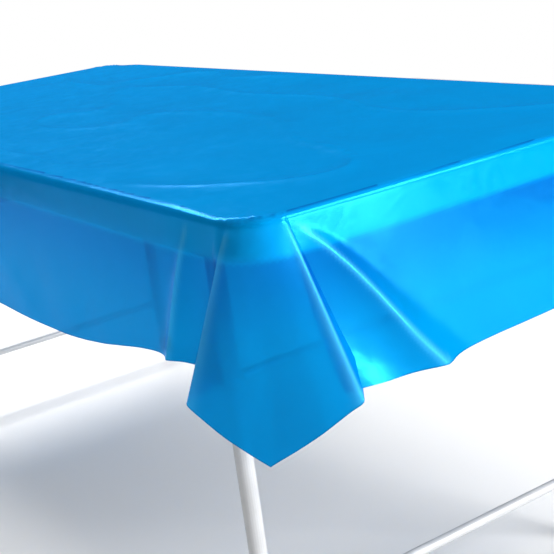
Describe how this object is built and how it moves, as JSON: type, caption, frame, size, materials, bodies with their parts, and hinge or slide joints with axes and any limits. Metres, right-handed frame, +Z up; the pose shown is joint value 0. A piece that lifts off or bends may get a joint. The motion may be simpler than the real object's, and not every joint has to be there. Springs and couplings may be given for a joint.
{
  "type": "tablecloth on a table",
  "caption": "Glossy plastic film tablecloth lying on a folding banquet table, with corner flaps that hang in points and steel leg frames that fold in under the top.",
  "frame": {"origin": "on the floor under the middle of the table", "axes": "+Z up, +Y along the table's length towards the rear end, +X across it to the right"},
  "size_m": [0.8458, 1.9158, 0.741],
  "materials": {
    "film_blue": "glossy, slightly see-through film",
    "panel_white": "fine-grained moulded polyethylene",
    "steel_grey": "powder coat",
    "zinc": "zinc plated",
    "nylon": "moulded",
    "foot_grey": "moulded"
  },
  "bodies": {
    "table": {"tabletop": "panel_white", "side_rail_left": "steel_grey", "side_rail_right": "steel_grey", "pivot_bush_front_left": "nylon", "pivot_bush_front_right": "nylon", "pivot_bush_rear_left": "nylon", "pivot_bush_rear_right": "nylon", "rail_screw_1": "zinc", "rail_screw_2": "zinc", "rail_screw_3": "zinc", "rail_screw_4": "zinc", "rail_screw_5": "zinc", "rail_screw_6": "zinc", "bracket_screw_1": "zinc", "bracket_screw_2": "zinc", "bracket_screw_3": "zinc", "bracket_screw_4": "zinc", "brace_bracket_front": "zinc", "brace_bracket_rear": "zinc", "bracket_pin_front": "zinc", "bracket_pin_rear": "zinc"},
    "leg_frame_front": {"pivot_bar_front": "steel_grey", "brace_bar_front": "steel_grey", "foot_bar_front": "steel_grey", "leg_front_left": "steel_grey", "leg_front_right": "steel_grey", "foot_cap_front_left": "foot_grey", "foot_cap_front_right": "foot_grey"},
    "brace_strips_front": {"brace_strip_front_left": "zinc", "brace_strip_front_right": "zinc", "knuckle_rivet_front_left": "zinc", "knuckle_rivet_front_right": "zinc"},
    "brace_link_front": {"brace_strut_front": "zinc"},
    "leg_frame_rear": {"pivot_bar_rear": "steel_grey", "brace_bar_rear": "steel_grey", "foot_bar_rear": "steel_grey", "leg_rear_left": "steel_grey", "leg_rear_right": "steel_grey", "foot_cap_rear_left": "foot_grey", "foot_cap_rear_right": "foot_grey"},
    "brace_strips_rear": {"brace_strip_rear_left": "zinc", "brace_strip_rear_right": "zinc", "knuckle_rivet_rear_left": "zinc", "knuckle_rivet_rear_right": "zinc"},
    "brace_link_rear": {"brace_strut_rear": "zinc"},
    "cloth": {"tablecloth": "film_blue"}
  },
  "joints": [
    {"name": "leg_fold_front", "type": "hinge", "parent": "table", "child": "leg_frame_front", "pos_m": [0, -0.735, 0.6967], "axis": [1, 0, 0], "range_deg": [0, 90]},
    {"name": "strips_turn_front", "type": "hinge", "parent": "leg_frame_front", "child": "brace_strips_front", "pos_m": [0, -0.735, 0.4967], "axis": [-1, 0, 0], "range_deg": [0, 125.6]},
    {"name": "strut_turn_front", "type": "hinge", "parent": "table", "child": "brace_link_front", "pos_m": [0, -0.455, 0.6967], "axis": [1, 0, 0], "range_deg": [0, 144.5]},
    {"name": "leg_fold_rear", "type": "hinge", "parent": "table", "child": "leg_frame_rear", "pos_m": [0, 0.735, 0.6967], "axis": [-1, 0, 0], "range_deg": [0, 90]},
    {"name": "strips_turn_rear", "type": "hinge", "parent": "leg_frame_rear", "child": "brace_strips_rear", "pos_m": [0, 0.735, 0.4967], "axis": [1, 0, 0], "range_deg": [0, 125.6]},
    {"name": "strut_turn_rear", "type": "hinge", "parent": "table", "child": "brace_link_rear", "pos_m": [0, 0.455, 0.6967], "axis": [-1, 0, 0], "range_deg": [0, 144.5]},
    {"name": "cloth_lift", "type": "slide", "parent": "table", "child": "cloth", "axis": [0, 0, 1], "range_m": [0, 0.36]}
  ],
  "couplings": [
    {"joint": "strips_turn_front", "follows": "leg_fold_front", "ratio": 1.3949},
    {"joint": "strut_turn_front", "follows": "leg_fold_front", "ratio": 1.6051},
    {"joint": "strips_turn_rear", "follows": "leg_fold_rear", "ratio": 1.3949},
    {"joint": "strut_turn_rear", "follows": "leg_fold_rear", "ratio": 1.6051}
  ]
}
